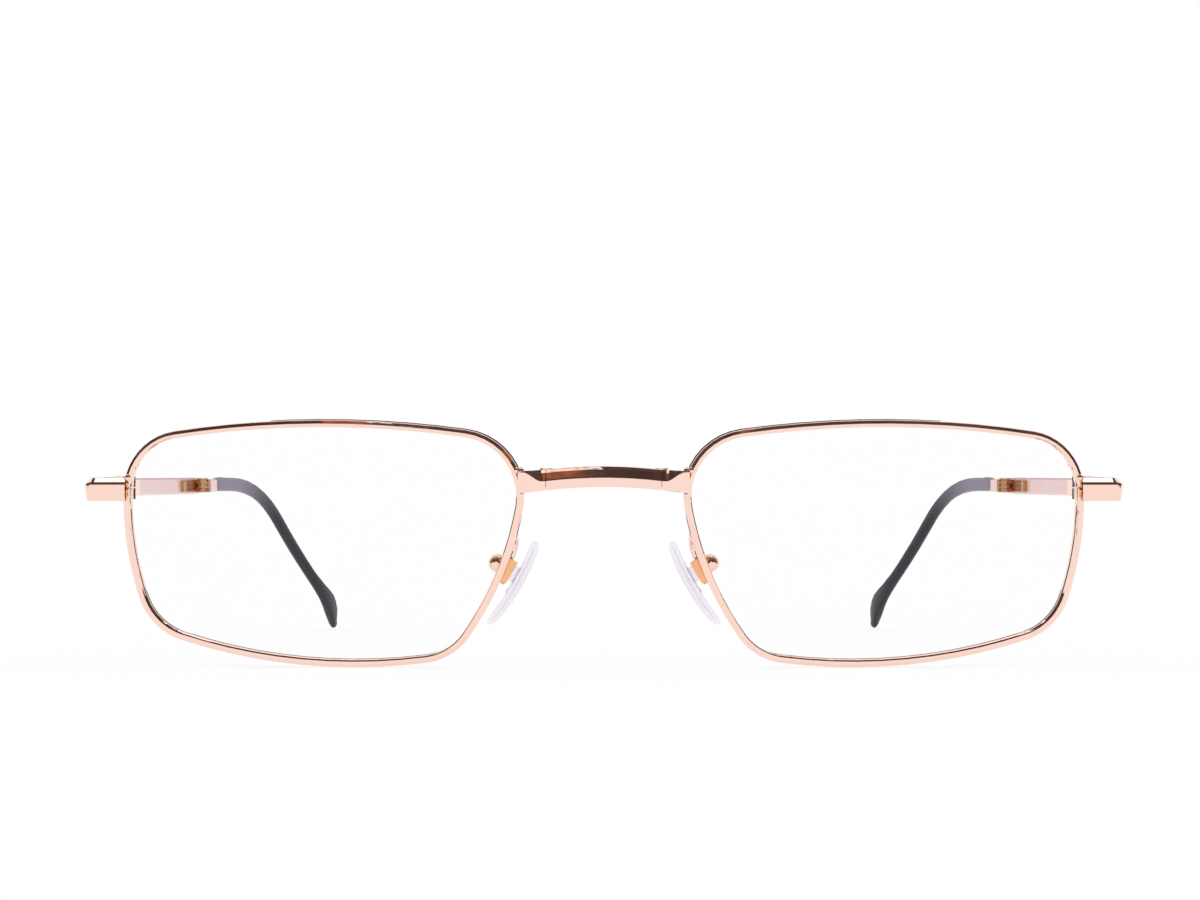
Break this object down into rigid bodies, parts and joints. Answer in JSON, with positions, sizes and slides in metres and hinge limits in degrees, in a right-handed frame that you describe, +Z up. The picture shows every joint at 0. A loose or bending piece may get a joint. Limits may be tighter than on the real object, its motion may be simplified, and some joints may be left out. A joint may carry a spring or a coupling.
{
  "type": "folding reading glasses",
  "caption": "Slim rose-gold folding reading glasses: rimmed lenses, hinged bridge, temples that fold at their ends and half way, rocking nose pads and dark ear tips.",
  "frame": {"origin": "centre of the overall width and depth, on the table the glasses stand on", "axes": "+X towards the wearer's left, +Y from the lenses back to the ears, +Z up"},
  "size_m": [0.1384, 0.1032, 0.0329],
  "materials": {
    "rose_metal": "polished pale rose gold plating",
    "hinge_metal": "bright orange gold plating on hinge leaves and pad boxes",
    "screw": "polished slotted screws",
    "lens": "clear polished, faint violet anti-glare sheen",
    "clear_plastic": "clear soft plastic, slightly frosted",
    "tip_plastic": "satin dark grey"
  },
  "bodies": {
    "bridge": {"bridge_bar": "rose_metal", "left_bridge_leaf": "hinge_metal", "right_bridge_leaf": "hinge_metal", "left_bridge_screw": "screw", "right_bridge_screw": "screw"},
    "left_front": {"left_rim": "rose_metal", "left_lens": "lens", "left_block_upper": "rose_metal", "left_block_lower": "rose_metal", "left_block_screw": "screw", "left_end_piece": "rose_metal", "left_end_leaf": "hinge_metal", "left_end_screw": "screw", "left_lug": "rose_metal", "left_lug_leaf": "hinge_metal", "left_pad_arm": "rose_metal", "left_pad_box": "hinge_metal", "left_pad_screw": "screw"},
    "left_temple_front": {"left_temple_bar": "rose_metal", "left_temple_housing": "rose_metal", "left_mid_leaf_front": "hinge_metal", "left_mid_screw": "screw"},
    "left_temple_rear": {"left_mid_leaf_rear": "hinge_metal", "left_rear_bar": "rose_metal", "left_temple_tip": "tip_plastic"},
    "left_pad": {"left_pad_clip": "clear_plastic", "left_nose_pad": "clear_plastic"},
    "right_front": {"right_rim": "rose_metal", "right_lens": "lens", "right_block_upper": "rose_metal", "right_block_lower": "rose_metal", "right_block_screw": "screw", "right_end_piece": "rose_metal", "right_end_leaf": "hinge_metal", "right_end_screw": "screw", "right_lug": "rose_metal", "right_lug_leaf": "hinge_metal", "right_pad_arm": "rose_metal", "right_pad_box": "hinge_metal", "right_pad_screw": "screw"},
    "right_temple_front": {"right_temple_bar": "rose_metal", "right_temple_housing": "rose_metal", "right_mid_leaf_front": "hinge_metal", "right_mid_screw": "screw"},
    "right_temple_rear": {"right_mid_leaf_rear": "hinge_metal", "right_rear_bar": "rose_metal", "right_temple_tip": "tip_plastic"},
    "right_pad": {"right_pad_clip": "clear_plastic", "right_nose_pad": "clear_plastic"}
  },
  "joints": [
    {"name": "left_bridge_hinge", "type": "hinge", "parent": "bridge", "child": "left_front", "pos_m": [0.00765, -0.04823, 0.025], "axis": [0, 0, 1], "range_deg": [0, 90]},
    {"name": "left_end_hinge", "type": "hinge", "parent": "left_front", "child": "left_temple_front", "pos_m": [0.06654, -0.04173, 0.0238], "axis": [0, 0, 1], "range_deg": [0, 78]},
    {"name": "left_mid_hinge", "type": "hinge", "parent": "left_temple_front", "child": "left_temple_rear", "pos_m": [0.06073, 0.00843, 0.0238], "axis": [0, 0, 1], "range_deg": [0, 170]},
    {"name": "left_pad_rock", "type": "hinge", "parent": "left_front", "child": "left_pad", "pos_m": [0.01301, -0.04532, 0.01285], "axis": [-0.5, 0, 0.866], "range_deg": [-8, 8]},
    {"name": "right_bridge_hinge", "type": "hinge", "parent": "bridge", "child": "right_front", "pos_m": [-0.00765, -0.04823, 0.025], "axis": [0, 0, 1], "range_deg": [-90, 0]},
    {"name": "right_end_hinge", "type": "hinge", "parent": "right_front", "child": "right_temple_front", "pos_m": [-0.06654, -0.04173, 0.0238], "axis": [0, 0, 1], "range_deg": [-78, 0]},
    {"name": "right_mid_hinge", "type": "hinge", "parent": "right_temple_front", "child": "right_temple_rear", "pos_m": [-0.06073, 0.00843, 0.0238], "axis": [0, 0, 1], "range_deg": [-170, 0]},
    {"name": "right_pad_rock", "type": "hinge", "parent": "right_front", "child": "right_pad", "pos_m": [-0.01301, -0.04532, 0.01285], "axis": [0.5, 0, 0.866], "range_deg": [-8, 8]}
  ],
  "couplings": [
    {"joint": "left_mid_hinge", "follows": "left_bridge_hinge", "ratio": 1.8888},
    {"joint": "right_mid_hinge", "follows": "right_bridge_hinge", "ratio": 1.8888}
  ]
}
